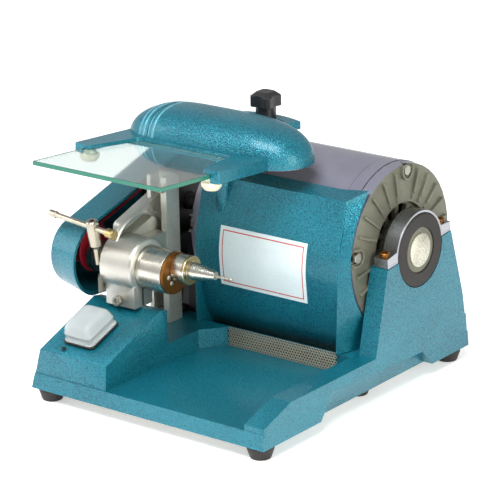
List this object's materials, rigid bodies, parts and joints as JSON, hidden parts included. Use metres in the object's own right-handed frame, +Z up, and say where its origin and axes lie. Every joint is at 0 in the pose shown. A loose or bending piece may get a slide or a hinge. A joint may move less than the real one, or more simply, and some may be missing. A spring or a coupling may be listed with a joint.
{
  "type": "dental lathe",
  "caption": "Bench dental lathe: a rubber-mounted motor drives a collet spindle by a belt, under a swivelling lamp hood with a glass eye shield.",
  "frame": {"origin": "middle of the whole lathe's bounding box, at the level of the table under the feet", "axes": "+X to the operator's right along the motor axis, +Y away from the operator, +Z up"},
  "size_m": [0.2782, 0.293, 0.2319],
  "materials": {
    "hammered_enamel": "hammered metallic turquoise enamel",
    "machined_steel": "fine turned steel",
    "cast_aluminium": "satin machined casting",
    "bell_casting": "dull grey-green casting",
    "shell_enamel": "smooth grey enamel",
    "black_metal": "satin black",
    "black_plastic": "matt black",
    "black_rubber": "matt",
    "dark_bronze": "dark bronze",
    "winding_copper": "varnished winding",
    "belt_red": "woven red",
    "label_white": "printed plate left blank",
    "clear_glass": "clear with green edge",
    "milky_silicone": "translucent milky",
    "cream_plastic": "cream",
    "lamp_white": "white coated tube",
    "polished_chrome": "polished",
    "zinc_plate": "zinc plated"
  },
  "bodies": {
    "frame": {"base_casting": "hammered_enamel", "bottom_plate": "zinc_plate", "foot_front_right": "black_rubber", "foot_front_left": "black_rubber", "foot_middle_right": "black_rubber", "foot_middle_left": "black_rubber", "foot_rear_right": "black_rubber", "foot_rear_left": "black_rubber", "vent_grille": "zinc_plate", "cord_gland": "black_plastic", "motor_shell": "shell_enamel", "end_bell_right": "bell_casting", "end_bell_left": "bell_casting", "stator": "winding_copper", "motor_bearing_right": "machined_steel", "motor_bearing_left": "machined_steel", "through_bolt_1": "zinc_plate", "through_bolt_2": "zinc_plate", "through_bolt_3": "zinc_plate", "through_bolt_4": "zinc_plate", "mount_ring_right": "black_rubber", "mount_ring_left": "black_rubber", "clamp_strap_right": "polished_chrome", "clamp_strap_left": "polished_chrome", "strap_screw_front": "dark_bronze", "strap_screw_rear": "dark_bronze", "hub_cap": "cast_aluminium", "left_bracket": "black_metal", "motor_cover": "hammered_enamel", "label_plate": "label_white", "drive_belt": "belt_red", "belt_cover": "hammered_enamel", "spindle_bracket": "cast_aluminium", "spindle_housing": "machined_steel", "clamp_screw": "polished_chrome", "spindle_sleeve": "machined_steel", "sleeve_end_cap": "dark_bronze", "spindle_bearing_front": "machined_steel", "spindle_bearing_rear": "machined_steel", "switch_body": "black_plastic", "switch_gasket": "black_rubber", "switch_boot": "milky_silicone", "hood_post": "machined_steel", "knob_saddle": "hammered_enamel"},
    "motor_rotor": {"rotor": "machined_steel", "motor_pulley": "black_metal"},
    "spindle": {"spindle_shaft": "machined_steel", "spindle_pulley": "machined_steel", "collet": "machined_steel", "bur": "machined_steel"},
    "tee_handle": {"handle_post": "machined_steel"},
    "tee_bar": {"handle_bar": "machined_steel"},
    "lamp_hood": {"hood": "hammered_enamel", "glass_plate": "clear_glass", "glass_retainer_right": "cream_plastic", "glass_retainer_left": "cream_plastic", "lamp_diffuser": "cream_plastic", "lamp_tube": "lamp_white"},
    "hood_knob": {"lock_knob": "black_plastic"},
    "rocker": {"switch_rocker": "black_plastic"}
  },
  "joints": [
    {"name": "motor_spin", "type": "hinge", "parent": "frame", "child": "motor_rotor", "pos_m": [0.03413, 0.0734, 0.1177], "axis": [1, 0, 0], "continuous": true},
    {"name": "spindle_spin", "type": "hinge", "parent": "frame", "child": "spindle", "pos_m": [-0.01087, -0.0574, 0.1094], "axis": [1, 0, 0], "continuous": true},
    {"name": "handle_turn", "type": "hinge", "parent": "frame", "child": "tee_handle", "pos_m": [-0.08438, -0.0795, 0.106], "axis": [0, -0.1685, 0.9857], "range_deg": [-180, 180]},
    {"name": "bar_slide", "type": "slide", "parent": "tee_handle", "child": "tee_bar", "axis": [0.989, -0.1457, -0.0249], "range_m": [-0.013, 0.025]},
    {"name": "hood_swivel", "type": "hinge", "parent": "frame", "child": "lamp_hood", "pos_m": [-0.01947, 0.0085, 0.2], "axis": [0, 0, 1], "range_deg": [-14, 14]},
    {"name": "knob_turn", "type": "hinge", "parent": "frame", "child": "hood_knob", "pos_m": [-0.01947, 0.0705, 0.208], "axis": [0, 0, 1], "range_deg": [-360, 360]},
    {"name": "rocker_tilt", "type": "hinge", "parent": "frame", "child": "rocker", "pos_m": [-0.06588, -0.1148, 0.06148], "axis": [-1, 0, 0], "range_deg": [0, 10]}
  ],
  "couplings": [
    {"joint": "spindle_spin", "follows": "motor_spin", "ratio": 3.252}
  ]
}
